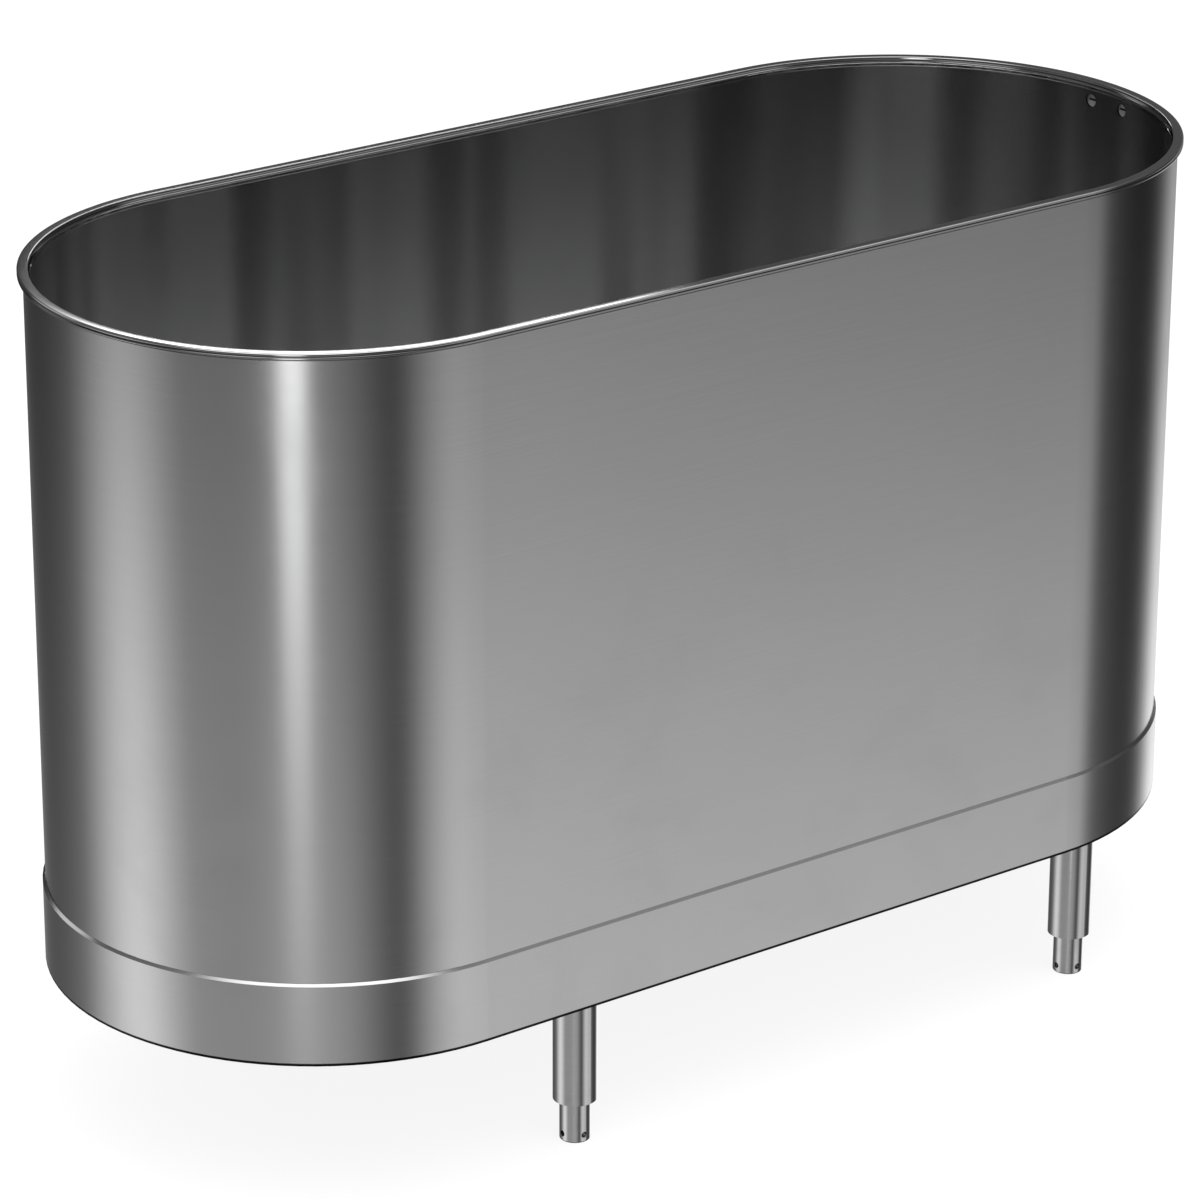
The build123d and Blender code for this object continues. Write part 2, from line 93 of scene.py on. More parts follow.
floor_reach = 60.0
floor_mesh = bpy.data.meshes.new("floor")
floor_signs = ((-1, -1), (1, -1), (1, 1), (-1, 1))
floor_corners = [Vector((x, y, 0.0)) * floor_reach for x, y in floor_signs]
floor_mesh.from_pydata(floor_corners, [], [(0, 1, 2, 3)])
floor_mesh.materials.append(floor_paint())
floor = bpy.data.objects.new("floor", floor_mesh)
scene.collection.objects.link(floor)
floor.visible_glossy = False


# --- Studio light ---------------------------------------------------------------------------
# Two broad soft suns light the floor and everything matt. The steel is lit by a ring of tall
# soft light banks round the tank with black flags between them, and a few lamps above.

def soft_sun(name, strength, azimuth, elevation, width):
    """Wide soft light from far away, with no mirror image of its own."""
    lamp = bpy.data.lights.new(name, "SUN")
    lamp.energy = strength
    lamp.angle = math.radians(width)
    sun = bpy.data.objects.new(name, lamp)
    sun.rotation_euler = heading_of(azimuth, elevation).to_track_quat("Z", "Y").to_euler()
    sun.visible_glossy = False
    scene.collection.objects.link(sun)


def heading_of(azimuth, elevation):
    """Direction at an azimuth from +X towards +Y and a height above the horizon, in degrees."""
    a = math.radians(azimuth)
    e = math.radians(elevation)
    return Vector((math.cos(a) * math.cos(e), math.sin(a) * math.cos(e), math.sin(e)))


def sine(degrees):
    return math.sin(math.radians(degrees))


soft_sun("top_light", 2.6, 200.0, 78.0, 110.0)
soft_sun("side_light", 0.6, -60.0, 50.0, 90.0)

# Light banks and flags round the tank: azimuth in degrees and brightness.
light_banks = (
    (-180, 0.34),
    (-160, 0.31),
    (-142, 0.35),
    (-122, 0.40),
    (-111, 0.30),
    (-100, 0.13),
    (-92, 0.06),
    (-84, 0.24),
    (-70, 0.76),
    (-56, 0.54),
    (-48, 0.55),
    (-43, 0.57),
    (-39, 0.52),
    (-36, 0.20),
    (-32, 0.12),
    (-18, 0.05),
    (-3, 0.05),
    (8, 0.14),
    (20, 0.85),
    (36, 1.30),
    (47, 1.00),
    (58, 0.32),
    (76, 0.09),
    (98, 0.085),
    (120, 0.155),
    (132, 0.38),
    (146, 0.82),
    (158, 0.86),
    (170, 0.56),
)
# Lamps above: azimuth, elevation, half width in degrees, and brightness.
lamps_above = (
    (8, 57, 12, 1.3),
    (-50, 31, 14, 0.45),
    (-33, 48, 8, 0.10),
    (-165, 42, 15, 0.55),
    (106, 26, 12, 0.8),
    (-127, 80, 28, 1.6),
)

world = bpy.data.worlds.new("studio")
scene.world = world
world.use_nodes = True
air = world.node_tree
air.nodes.clear()


def sum_of(tree, operation, first, second=0.0, third=0.0):
    """Result of one sum on values or sockets."""
    sources = {0: first, 1: second, 2: third}
    return add(tree, "ShaderNodeMath", sources, operation=operation).outputs[0]


def spread(tree, value, start, end, low=0.0, high=1.0):
    """Smooth change from low to high as a value goes from start to end."""
    limits = {"Value": value, "From Min": start, "From Max": end, "To Min": low, "To Max": high}
    faded = add(tree, "ShaderNodeMapRange", limits, interpolation_type="SMOOTHSTEP")
    return faded.outputs["Result"]


def product(tree, *values):
    """Two or more values multiplied together."""
    total = values[0]
    for value in values[1:]:
        total = sum_of(tree, "MULTIPLY", total, value)
    return total


heading = air.nodes.new("ShaderNodeTexCoord").outputs["Generated"]
split = add(air, "ShaderNodeSeparateXYZ", {0: heading}).outputs
height = split["Z"]
turn = sum_of(air, "ARCTAN2", split["Y"], split["X"])
banks = air.nodes.new("ShaderNodeValToRGB")
banks.color_ramp.interpolation = "B_SPLINE"
stops = banks.color_ramp.elements
while len(stops) > 1:
    stops.remove(stops[-1])
stops[0].position = 0.0
stops[0].color = (*[light_banks[0][1]] * 3, 1)
for degrees, level in (*light_banks[1:], (180, light_banks[0][1])):
    stop = stops.new(degrees / 360 + 0.5)
    stop.color = (level, level, level, 1)
air.links.new(sum_of(air, "MULTIPLY_ADD", turn, 0.5 / math.pi, 0.5), banks.inputs["Fac"])

# The banks are brightest near the floor, fade upwards, and end a little above the horizon.
low_part = spread(air, height, sine(-27.5), sine(-13.5), 1.33, 0.25)
under_part = spread(air, height, sine(-42), sine(-30), 0.02, 1.0)
high_part = spread(air, height, sine(0), sine(15), 1.0, 0.12)
field = product(air, banks.outputs["Color"], low_part, under_part, high_part)

# Even light from the sky in two steps, and from straight below.
for start, end, low, high in ((-4, 12, 0.0, 0.07), (24, 42, 0.0, 0.10), (-70, -60, 0.32, 0.0)):
    even = spread(air, height, sine(start), sine(end), low, high)
    field = sum_of(air, "ADD", field, even)

# A slim bright tube hangs in front of the left end.
tube_offset = sum_of(air, "ABSOLUTE", sum_of(air, "ADD", turn, math.radians(133)))
tube_width = spread(air, tube_offset, math.radians(2), math.radians(8), 1.0, 0.0)
tube_height = spread(air, height, sine(-25), sine(-14), 0.0, 2.6)
tube_end = spread(air, height, sine(5), sine(20), 1.0, 0.0)
field = sum_of(air, "ADD", field, product(air, tube_width, tube_height, tube_end))

# A square soft box stands behind the tank, with sharp edges that the polished rim picks up.
box_left = spread(air, turn, math.radians(51.8), math.radians(52.6), 0.0, 3.0)
box_right = spread(air, turn, math.radians(58), math.radians(60), 1.0, 0.0)
box_low = spread(air, height, sine(18.3), sine(18.55), 0.0, 1.0)
box_high = spread(air, height, sine(23), sine(28), 1.0, 0.0)
field = sum_of(air, "ADD", field, product(air, box_left, box_right, box_low, box_high))

for azimuth, elevation, half_width, level in lamps_above:
    towards = {0: heading, 1: heading_of(azimuth, elevation)}
    facing = add(air, "ShaderNodeVectorMath", towards, operation="DOT_PRODUCT").outputs["Value"]
    edge = math.cos(math.radians(half_width * 1.3))
    core = math.cos(math.radians(half_width * 0.7))
    field = sum_of(air, "ADD", field, spread(air, facing, edge, core, 0.0, level))

lit = add(air, "ShaderNodeBackground", {"Color": field}).outputs[0]
plain = add(air, "ShaderNodeBackground", {"Color": (1, 1, 1, 1)}).outputs[0]
seen = air.nodes.new("ShaderNodeLightPath").outputs["Is Camera Ray"]
sky = add(air, "ShaderNodeMixShader", {0: seen, 1: lit, 2: plain}).outputs[0]
add(air, "ShaderNodeOutputWorld", {"Surface": sky})
scene.view_settings.view_transform = "Standard"


# --- Camera ---------------------------------------------------------------------------------
# A long lens from the front left, a little above the rim, held very slightly tilted. It looks
# at a point near the middle of the tank.

camera_distance = 5.786
camera_roll = math.radians(0.18)
aim = Vector((-0.1195, -0.1196, 0.5428))
backwards = heading_of(-127.065, 21.43)
camera_data = bpy.data.cameras.new("camera")
camera_data.lens = 161.2
camera_data.sensor_width = 36.0
camera_data.clip_end = 200.0
camera = bpy.data.objects.new("camera", camera_data)
camera.matrix_world = (
    Matrix.Translation(aim + backwards * camera_distance)
    @ (-backwards).to_track_quat("-Z", "Y").to_matrix().to_4x4()
    @ Matrix.Rotation(camera_roll, 4, "Z")
)
scene.collection.objects.link(camera)
scene.camera = camera


# --- Wall -----------------------------------------------------------------------------------
# Two flat sheets and two rolled half rounds of 2 mm stainless, butt-welded and ground flush, so
# that no seam shows. Outside it is satin polished along the sheet. Inside it keeps a duller mill
# finish, with painted shade darker under the rim and upright streaks of painted reflection.

wall_sheet = 0.002
streak_width = 0.09
# How far below the rim the painted shade on the inside reaches.
rim_shade_depth = 0.26        # below the rim, where the inside is darkest
# Painted shade round the port holes: full up to the first distance past a hole's edge, gone by the
# second.
hole_shade_full = 0.0003       # past a drilled hole's edge
hole_shade_end = 0.0008
# Painted shade under the rim: full this far below the wall's top edge, gone by the next.
rim_corner_shade_full = 0.0020     # below the wall's top edge
rim_corner_shade_end = 0.0028


def new_group(name, inputs, outputs):
    """Empty node group with the given sockets, each input with its default value."""
    group = bpy.data.node_groups.new(name, "ShaderNodeTree")
    for label, kind, default in inputs:
        socket = group.interface.new_socket(label, in_out="INPUT", socket_type=kind)
        socket.default_value = default
    for label, kind in outputs:
        group.interface.new_socket(label, in_out="OUTPUT", socket_type=kind)
    given = group.nodes.new("NodeGroupInput").outputs
    result = group.nodes.new("NodeGroupOutput").inputs
    return group, given, result


def polishing_lines():
    """Fine lines left by belt or lathe; Density is how many to a metre along X, Y and Z."""
    group, given, result = new_group(
        "polishing_lines",
        (("Density", "NodeSocketVector", (5.0, 5.0, 1100.0)),),
        (("Lines", "NodeSocketFloat"),),
    )
    factors = {0: object_place(group), 1: given["Density"]}
    drawn = add(group, "ShaderNodeVectorMath", factors, operation="MULTIPLY")
    look = {"Vector": drawn.outputs[0], "Scale": 1.0, "Detail": 3.0}
    noise = add(group, "ShaderNodeTexNoise", look)
    group.links.new(noise.outputs["Fac"], result["Lines"])
    return group


def cloudy_marks():
    """Patches where hands, cloths and water have dulled the polish, and a broad drift of tone."""
    group, given, result = new_group(
        "cloudy_marks",
        (("Size", "NodeSocketFloat", 7.0), ("Cover", "NodeSocketFloat", 0.5)),
        (("Marks", "NodeSocketFloat"), ("Drift", "NodeSocketFloat")),
    )
    place = object_place(group)
    look = {"Vector": place, "Scale": given["Size"], "Detail": 5.0, "Roughness": 0.6}
    look["Distortion"] = 0.4
    cloud = add(group, "ShaderNodeTexNoise", look)
    start = sum_of(group, "MULTIPLY_ADD", given["Cover"], -0.3, 0.62)
    marks = spread(group, cloud.outputs["Fac"], start, 0.72)
    broad = add(group, "ShaderNodeTexNoise", {"Vector": place, "Scale": 2.1, "Detail": 2.0})
    group.links.new(marks, result["Marks"])
    group.links.new(broad.outputs["Fac"], result["Drift"])
    return group


def shaded_colour():
    """A colour made a little lighter and darker by two masks, each of 0 to 1 round one half."""
    group, given, result = new_group(
        "shaded_colour",
        (
            ("Colour", "NodeSocketColor", (0.6, 0.6, 0.6, 1.0)),
            ("Drift", "NodeSocketFloat", 0.5),
            ("Lines", "NodeSocketFloat", 0.5),
            ("Swing", "NodeSocketFloat", 0.1),
        ),
        (("Colour", "NodeSocketColor"),),
    )
    both = sum_of(group, "ADD", given["Drift"], given["Lines"])
    centred = sum_of(group, "SUBTRACT", both, 1.0)
    gain = sum_of(group, "MULTIPLY_ADD", centred, given["Swing"], 1.0)
    scaled = {0: given["Colour"], "Scale": gain}
    tinted = add(group, "ShaderNodeVectorMath", scaled, operation="SCALE")
    group.links.new(tinted.outputs[0], result["Colour"])
    return group


def reflection_and_gloss_streaks():
    """Upright streaks, Width apart in metres, for painted reflection in a colour and for streaks in
    gloss.
    """
    group, given, result = new_group(
        "reflection_and_gloss_streaks",
        (("Width", "NodeSocketFloat", 0.1),),
        (("Streaks", "NodeSocketFloat"),),
    )
    factors = {0: object_place(group), 1: (1.0, 1.0, 0.06)}
    place = add(group, "ShaderNodeVectorMath", factors, operation="MULTIPLY")
    many = sum_of(group, "DIVIDE", 1.0, given["Width"])
    look = {"Vector": place.outputs[0], "Scale": many, "Detail": 1.0, "Roughness": 0.4}
    noise = add(group, "ShaderNodeTexNoise", look)
    group.links.new(spread(group, noise.outputs["Fac"], 0.28, 0.72), result["Streaks"])
    return group


lines_group = polishing_lines()
marks_group = cloudy_marks()
colour_group = shaded_colour()
streaks_group = reflection_and_gloss_streaks()


def placed(tree, group, sources):
    """Outputs of a node group placed in a material with its own values."""
    return add(tree, "ShaderNodeGroup", sources, node_tree=group).outputs


def metal(
    name, colour, roughness, density,
    size=7.0, cover=0.5, dulling=0.04, grain=0.05, swing=0.1, relief=0.015, metallic=1.0,
):
    """A metal finish: its colour, gloss and lines, and how strongly the marks and lines show."""
    made, tree, shader = new_finish(name)
    shader.inputs["Metallic"].default_value = metallic
    lines = placed(tree, lines_group, {"Density": density})["Lines"]
    marks = placed(tree, marks_group, {"Size": size, "Cover": cover})
    shade = {"Colour": (*colour, 1.0), "Drift": marks["Drift"], "Lines": lines, "Swing": swing}
    tree.links.new(placed(tree, colour_group, shade)["Colour"], shader.inputs["Base Color"])
    drawn = sum_of(tree, "MULTIPLY_ADD", lines, grain, roughness - grain / 2)
    gloss = sum_of(tree, "MULTIPLY_ADD", marks["Marks"], dulling, drawn)
    tree.links.new(gloss, shader.inputs["Roughness"])
    bump = add(tree, "ShaderNodeBump", {"Height": lines, "Strength": relief, "Distance": 0.0002})
    tree.links.new(bump.outputs["Normal"], shader.inputs["Normal"])
    return made


def grey(level):
    return (level, level, level, 1.0)


def mixed(tree, mask, under, over):
    """One colour over another where a mask is 1."""
    sources = {0: mask, 6: under, 7: over}
    return add(tree, "ShaderNodeMix", sources, data_type="RGBA").outputs[2]


def paint_over(made, mask, over):
    """Lays a colour on a finish where a mask is 1."""
    base = made.node_tree.nodes["Principled BSDF"].inputs["Base Color"]
    under = base.links[0].from_socket
    made.node_tree.links.new(mixed(made.node_tree, mask, under, over), base)


def give(material, *names):
    """Puts a finish on CAD nodes."""
    for name in names:
        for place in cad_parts[name].material_slots:
            place.material = material


wall_finish = metal("wall_steel", (0.62, 0.62, 0.625), 0.185, (5.0, 5.0, 1100.0), dulling=0.03)
tree = wall_finish.node_tree
shader = tree.nodes["Principled BSDF"]
wall_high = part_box("left_end_wall")[1]
wall_top = wall_high.z
straight = abs(wall_high.x)
spot = add(tree, "ShaderNodeSeparateXYZ", {0: object_place(tree)}).outputs
past_straight = sum_of(tree, "SUBTRACT", sum_of(tree, "ABSOLUTE", spot["X"]), straight)
round_part = sum_of(tree, "MAXIMUM", past_straight, 0.0)
across = add(tree, "ShaderNodeCombineXYZ", {0: round_part, 1: spot["Y"]}).outputs[0]
reach = add(tree, "ShaderNodeVectorMath", {0: across}, operation="LENGTH").outputs["Value"]
inside = sum_of(tree, "LESS_THAN", reach, wall_high.y - wall_sheet / 2)
# Painted shade and painted reflection: the inside colour is painted darker under the rim, where the
# rim shades it, and streaked upright where reflections would show.
streaks = placed(tree, streaks_group, {"Width": streak_width})["Streaks"]
painted_rim_shade = spread(tree, spot["Z"], wall_top, wall_top - rim_shade_depth, 0.52, 0.74)
painted_inside_light = product(tree, painted_rim_shade, spread(tree, streaks, 0.0, 1.0, 0.64, 1.30))
painted_inside_parts = {part: painted_inside_light for part in range(3)}
painted_inside_grey = add(tree, "ShaderNodeCombineColor", painted_inside_parts).outputs[0]
paint_over(wall_finish, inside, painted_inside_grey)

# Painted shade: the wall is painted near black in the port holes and just round their edges, where
# shade falls.
port_low, port_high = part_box("port_plugs")
port_radius = (port_high.z - port_low.z) / 2
port_level = port_high.z - port_radius
port_y = port_high.y - port_radius
from_port_y = sum_of(tree, "SUBTRACT", sum_of(tree, "ABSOLUTE", spot["Y"]), port_y)
from_port_z = sum_of(tree, "SUBTRACT", spot["Z"], port_level)
from_port = add(tree, "ShaderNodeCombineXYZ", {0: from_port_y, 1: from_port_z}).outputs[0]
port_reach = add(tree, "ShaderNodeVectorMath", {0: from_port}, operation="LENGTH").outputs["Value"]
at_service_end = sum_of(tree, "GREATER_THAN", spot["X"], straight)
painted_port_shade = spread(tree, port_reach, port_radius + hole_shade_end, port_radius + hole_shade_full)
paint_over(wall_finish, product(tree, painted_port_shade, at_service_end), grey(0.03))

# Polish and dirt stay in the corner under the rim.
# Painted shade: a dark line along the top of the wall, in the corner under the rim, where the rim
# shades it.
painted_rim_corner_shade = spread(tree, spot["Z"], wall_top - rim_corner_shade_end, wall_top - rim_corner_shade_full)
paint_over(wall_finish, product(tree, painted_rim_corner_shade, 0.75), grey(0.05))

# The mill finish inside is duller than the polish outside.
gloss = shader.inputs["Roughness"].links[0].from_socket
mill_gloss = sum_of(tree, "MULTIPLY_ADD", streaks, 0.03, 0.24)
either = add(tree, "ShaderNodeMix", {0: inside, 2: gloss, 3: mill_gloss}, data_type="FLOAT")
tree.links.new(either.outputs[0], shader.inputs["Roughness"])
give(wall_finish, "front_wall", "rear_wall", "left_end_wall", "right_end_wall")


# --- Rim ------------------------------------------------------------------------------------
# A flat bar ring rolled to the tank's outline and welded on the wall, with a thin bead under its
# inner edge. Its top is faintly crowned, its outside has a rolled groove between two rounds, and
# it is polished nearly to a mirror.

rim_low, rim_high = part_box("rim_ring")
turn_steps = 96
straight_steps = 24
bar_width = 0.012
crown = 0.000015
low_round = 0.0016
high_round = 0.0019
inner_round = 0.0012
outer_flat = 0.0020      # from the outside edge to where the flat faces start
inner_flat = 0.0014      # from the inside edge to where the flat top ends
groove_level = 0.0032    # above the bar's underside
groove_depth = 0.0010
slope = ((0.0, 0.0028), (0.0002, 0.0031), (0.0014, 0.0051), (0.0016, 0.0056))   # inwards, down
groove_shade_full = 0.0004     # either side of the groove's bottom
groove_shade_end = 0.0009


def oblong_path(steps, straight_parts):
    """Places round the tank's outline: a centre on the long axis and the direction outwards."""
    places = []
    for side, start in ((1, -90), (-1, 90)):
        for step in range(steps):
            angle = math.radians(start + 180 * step / steps)
            places.append((side * straight, Vector((math.cos(angle), math.sin(angle), 0.0))))
        outward = Vector((0.0, float(side), 0.0))
        for step in range(straight_parts):
            places.append((side * straight * (1 - 2 * step / straight_parts), outward))
    return places


def arc(centre_out, centre_up, radius, start, end, parts):
    """Points of a profile's round, as distance outwards and height."""
    points = []
    for part in range(parts + 1):
        angle = math.radians(start + (end - start) * part / parts)
        points.append((centre_out + radius * math.cos(angle), centre_up + radius * math.sin(angle)))
    return points


def swept(name, profile, places):
    """Closed profile swept round the tank as one smooth skin."""
    mesh = bmesh.new()
    rings = []
    for centre, outward in places:
        spots = [Vector((centre, 0.0, up)) + outward * out for out, up in profile]
        rings.append([mesh.verts.new(spot) for spot in spots])
    for ring, following in zip(rings, rings[1:] + rings[:1]):
        for k in range(len(profile)):
            n = (k + 1) % len(profile)
            mesh.faces.new((ring[k], following[k], following[n], ring[n]))
    bmesh.ops.recalc_face_normals(mesh, faces=mesh.faces)
    for face in mesh.faces:
        face.smooth = True
    data = bpy.data.meshes.new(name)
    mesh.to_mesh(data)
    mesh.free()
    piece = bpy.data.objects.new(name, data)
    scene.collection.objects.link(piece)
    return piece


rim_out = rim_high.y
rim_top = rim_high.z
rim_foot = rim_low.z
rim_in = rim_out - bar_width
rim_profile = [(rim_in - slope[-1][0], rim_foot), (rim_out - outer_flat, rim_foot)]
rim_profile += arc(rim_out - low_round, rim_foot + low_round, low_round, -80, 55, 9)
rim_profile += [(rim_out - groove_depth, rim_foot + groove_level)]
rim_profile += arc(rim_out - high_round, rim_top - high_round - crown, high_round, -55, 88, 11)
flat_start = rim_out - outer_flat
flat_end = rim_in + inner_flat
for share in (0.03, 0.2, 0.35, 0.5, 0.65, 0.8, 0.97):
    out = flat_start + (flat_end - flat_start) * share
    rim_profile.append((out, rim_top - crown * (2 * share - 1) ** 2))
rim_profile += arc(rim_in + inner_round, rim_top - inner_round - crown, inner_round, 92, 180, 7)
rim_profile += [(rim_in - inwards, rim_top - down) for inwards, down in slope]
rim = swept("polished_rim", rim_profile, oblong_path(turn_steps, straight_steps))
rim_finish = metal(
    "rim_steel", (0.60, 0.60, 0.605), 0.055, (30.0, 30.0, 600.0), dulling=0.01, grain=0.015
)
tree = rim_finish.node_tree
# Painted shade: the rim's groove is painted near black along its bottom, where shade falls in it.
rim_spot = add(tree, "ShaderNodeSeparateXYZ", {0: object_place(tree)}).outputs
above_groove = sum_of(tree, "SUBTRACT", rim_spot["Z"], rim_foot + groove_level)
painted_groove_shade = spread(tree, sum_of(tree, "ABSOLUTE", above_groove), groove_shade_end, groove_shade_full)
paint_over(rim_finish, product(tree, painted_groove_shade, 0.85), grey(0.04))
rim.data.materials.append(rim_finish)
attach(rim, "tank")
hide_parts("rim_ring")
give(rim_finish, "rim_bead")


# --- Base band ------------------------------------------------------------------------------
# A 3 mm strip rolled round the foot of the wall, its top edge bevelled and its bottom edge
# rounded. Polished with the wall, so it has the same satin lines, and its lip is painted dark as
# painted shade.

lip_shade_full = 0.0034        # above the band's lower edge
lip_shade_end = 0.0042
band_finish = metal("band_steel", (0.62, 0.62, 0.625), 0.185, (5.0, 5.0, 1100.0), dulling=0.03)
tree = band_finish.node_tree
band_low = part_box("base_band")[0].z
height_on_band = add(tree, "ShaderNodeSeparateXYZ", {0: object_place(tree)}).outputs["Z"]
# Painted shade: a dark line along the band's rounded bottom lip.
paint_over(
    band_finish, spread(tree, height_on_band, band_low + lip_shade_end, band_low + lip_shade_full), grey(0.02)
)
give(band_finish, "base_band")


# --- Floor pan, sump and bottom plate -------------------------------------------------------
# Pressed and folded 2 mm stainless sheet, left in the mill's own matt finish with its grain
# along the tank. The pan's lip and the sump are welded in, and the bottom plate closes the base.

floor_finish = metal(
    "floor_steel", (0.66, 0.66, 0.66), 0.46, (6.0, 420.0, 420.0),
    size=9.0, dulling=0.1, grain=0.12, swing=0.16, relief=0.05,
)
give(floor_finish, "floor_pan", "drain_sump", "bottom_plate")


# --- Base inside: cooling plate, cross beams and leg sockets --------------------------------
# Structural steel that never shows, left with its rolling finish and some heat tint. The beams
# are channels that run from leg to leg, and each leg has a welded socket.

inner_finish = metal(
    "inner_steel", (0.50, 0.49, 0.48), 0.42, (12.0, 200.0, 200.0),
    size=14.0, cover=0.8, dulling=0.14, grain=0.1, swing=0.25, relief=0.06,
)
leg_places = ("front_left", "front_right", "rear_left", "rear_right")
give(inner_finish, "cooling_plate", "left_cross_beam", "right_cross_beam")
give(inner_finish, *[place + "_leg_socket" for place in leg_places])


# --- Legs and feet --------------------------------------------------------------------------
# Round stainless tube legs, each with a turned insert that takes the threaded stem of a solid
# foot. The feet have cross holes near the floor for a bar to turn them with.

leg_finish = metal(
    "leg_steel", (0.60, 0.60, 0.605), 0.12, (9.0, 9.0, 700.0),
    size=22.0, dulling=0.06, grain=0.05, swing=0.12,
)
turned_finish = metal(
    "turned_steel", (0.55, 0.55, 0.55), 0.24, (60.0, 60.0, 1600.0),
    size=60.0, dulling=0.08, grain=0.12, swing=0.2, relief=0.08,
)


def rubbed_edges():
    """Narrow bands along edges, where handling has worn the surface bright."""
    group, given, result = new_group(
        "rubbed_edges",
        (("Width", "NodeSocketFloat", 0.001),),
        (("Edges", "NodeSocketFloat"),),
    )
    soft = add(group, "ShaderNodeBevel", {"Radius": given["Width"]}, samples=4)
    true = group.nodes.new("ShaderNodeNewGeometry")
    normals = {0: soft.outputs["Normal"], 1: true.outputs["Normal"]}
    facing = add(group, "ShaderNodeVectorMath", normals, operation="DOT_PRODUCT")
    look = {"Vector": object_place(group), "Scale": 160.0, "Detail": 2.0}
    worn = add(group, "ShaderNodeTexNoise", look)
    edge = spread(group, facing.outputs["Value"], 0.995, 0.90)
    broken = product(group, edge, spread(group, worn.outputs["Fac"], 0.3, 0.6, 0.35, 1.0))
    group.links.new(broken, result["Edges"])
    return group


edges_group = rubbed_edges()


def wear(made, width, bright, smoother=-0.06):
    """Adds worn bright edges to a finish."""
    tree = made.node_tree
    shader = tree.nodes["Principled BSDF"]
    edges = placed(tree, edges_group, {"Width": width})["Edges"]
    paint_over(made, edges, (*bright, 1.0))
    gloss = shader.inputs["Roughness"].links[0].from_socket
    glossier = sum_of(tree, "MULTIPLY_ADD", edges, smoother, gloss)
    tree.links.new(glossier, shader.inputs["Roughness"])


foot_finish = metal(
    "foot_steel", (0.60, 0.60, 0.605), 0.13, (30.0, 30.0, 900.0),
    size=40.0, dulling=0.08, grain=0.07, swing=0.15,
)
wear(foot_finish, 0.0012, (0.74, 0.74, 0.74))
for place in leg_places:
    give(leg_finish, place + "_leg_tube")
    give(turned_finish, place + "_leg_insert", place + "_foot_stem")
    give(foot_finish, place + "_foot")

fastener_finish = metal(
    "fastener_steel", (0.58, 0.57, 0.56), 0.28, (150.0, 150.0, 150.0),
    size=90.0, dulling=0.1, grain=0.1, swing=0.2, relief=0.05,
)
wear(fastener_finish, 0.0006, (0.75, 0.74, 0.72))
give(fastener_finish, "leg_grub_screws", "valve_bolts", "lever_screw")


# --- Wall ports -----------------------------------------------------------------------------
# Two short bosses welded outside the end wall near the rim, each closed by a plug with a driver
# slot and a broken edge. The plugs are bead-blasted, so they are paler and duller than the wall.

port_finish = metal(
    "port_steel", (0.52, 0.52, 0.52), 0.42, (300.0, 300.0, 300.0),
    size=120.0, dulling=0.1, grain=0.1, swing=0.2, relief=0.05, metallic=0.6,
)
wear(port_finish, 0.0007, (0.75, 0.75, 0.75))
give(port_finish, "port_bosses")
plug_finish = metal(
    "plug_steel", (0.62, 0.62, 0.62), 0.42, (300.0, 300.0, 300.0),
    size=120.0, dulling=0.1, grain=0.1, swing=0.25, relief=0.05, metallic=0.6,
)
plug_recess = 0.0013     # deeper in the boss than the CAD plug's face
slot_half = 0.0013
slot_depth = 0.0017
plug_edge = 0.0006
back_edge = 0.0005
plug_points = 48
land_parts = 24
plug_face = port_low.x + plug_recess

# Painted shade: the bottom of the driver slot is painted near black, where shade falls in it.
tree = plug_finish.node_tree
depth_in_plug = add(tree, "ShaderNodeSeparateXYZ", {0: object_place(tree)}).outputs["X"]
slot_middle = plug_face + slot_depth * 0.5
slot_bottom = plug_face + slot_depth * 0.9
paint_over(plug_finish, spread(tree, depth_in_plug, slot_middle, slot_bottom), grey(0.006))


def smooth_piece(name, mesh, finish, body, flat=False):
    """Finishes a mesh as a piece on a CAD body."""
    bmesh.ops.recalc_face_normals(mesh, faces=mesh.faces)
    for face in mesh.faces:
        face.smooth = not flat
    data = bpy.data.meshes.new(name)
    mesh.to_mesh(data)
    mesh.free()
    data.materials.append(finish)
    piece = bpy.data.objects.new(name, data)
    scene.collection.objects.link(piece)
    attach(piece, body)
    return piece


def lofted(mesh, rings):
    """Skin over rings of points, closed at both ends."""
    rows = [[mesh.verts.new(point) for point in ring] for ring in rings]
    for row, following in zip(rows, rows[1:]):
        for k in range(len(row)):
            n = (k + 1) % len(row)
            mesh.faces.new((row[k], row[n], following[n], following[k]))
    mesh.faces.new(rows[0])
    mesh.faces.new(rows[-1])


def on_circle(x, centre_y, radius, angle, up=1):
    """Point on a circle round a port's axis."""
    y = centre_y + radius * math.cos(angle)
    return Vector((x, y, port_level + up * radius * math.sin(angle)))


def slotted_plug(side):
    """Round plug in one port: a solid back with two half-round lands that leave the slot."""
    mesh = bmesh.new()
    centre_y = side * port_y
    angles = [math.radians(360 / plug_points * k) for k in range(plug_points)]
    rounds = (
        (plug_face + slot_depth, port_radius),
        (port_high.x - back_edge, port_radius),
        (port_high.x, port_radius - back_edge),
    )
    lofted(mesh, [[on_circle(x, centre_y, radius, a) for a in angles] for x, radius in rounds])
    for up in (1, -1):
        land = []
        for x, inset in ((slot_depth, 0.0), (plug_edge, 0.0), (0.0, plug_edge)):
            radius = port_radius - inset
            start = math.asin((slot_half + inset * 0.4) / radius)
            turns = [start + (math.pi - 2 * start) * k / land_parts for k in range(land_parts + 1)]
            land.append([on_circle(plug_face + x, centre_y, radius, a, up) for a in turns])
        lofted(mesh, land)
    name = "left_port_plug" if side > 0 else "right_port_plug"
    return smooth_piece(name, mesh, plug_finish, "tank", flat=True)


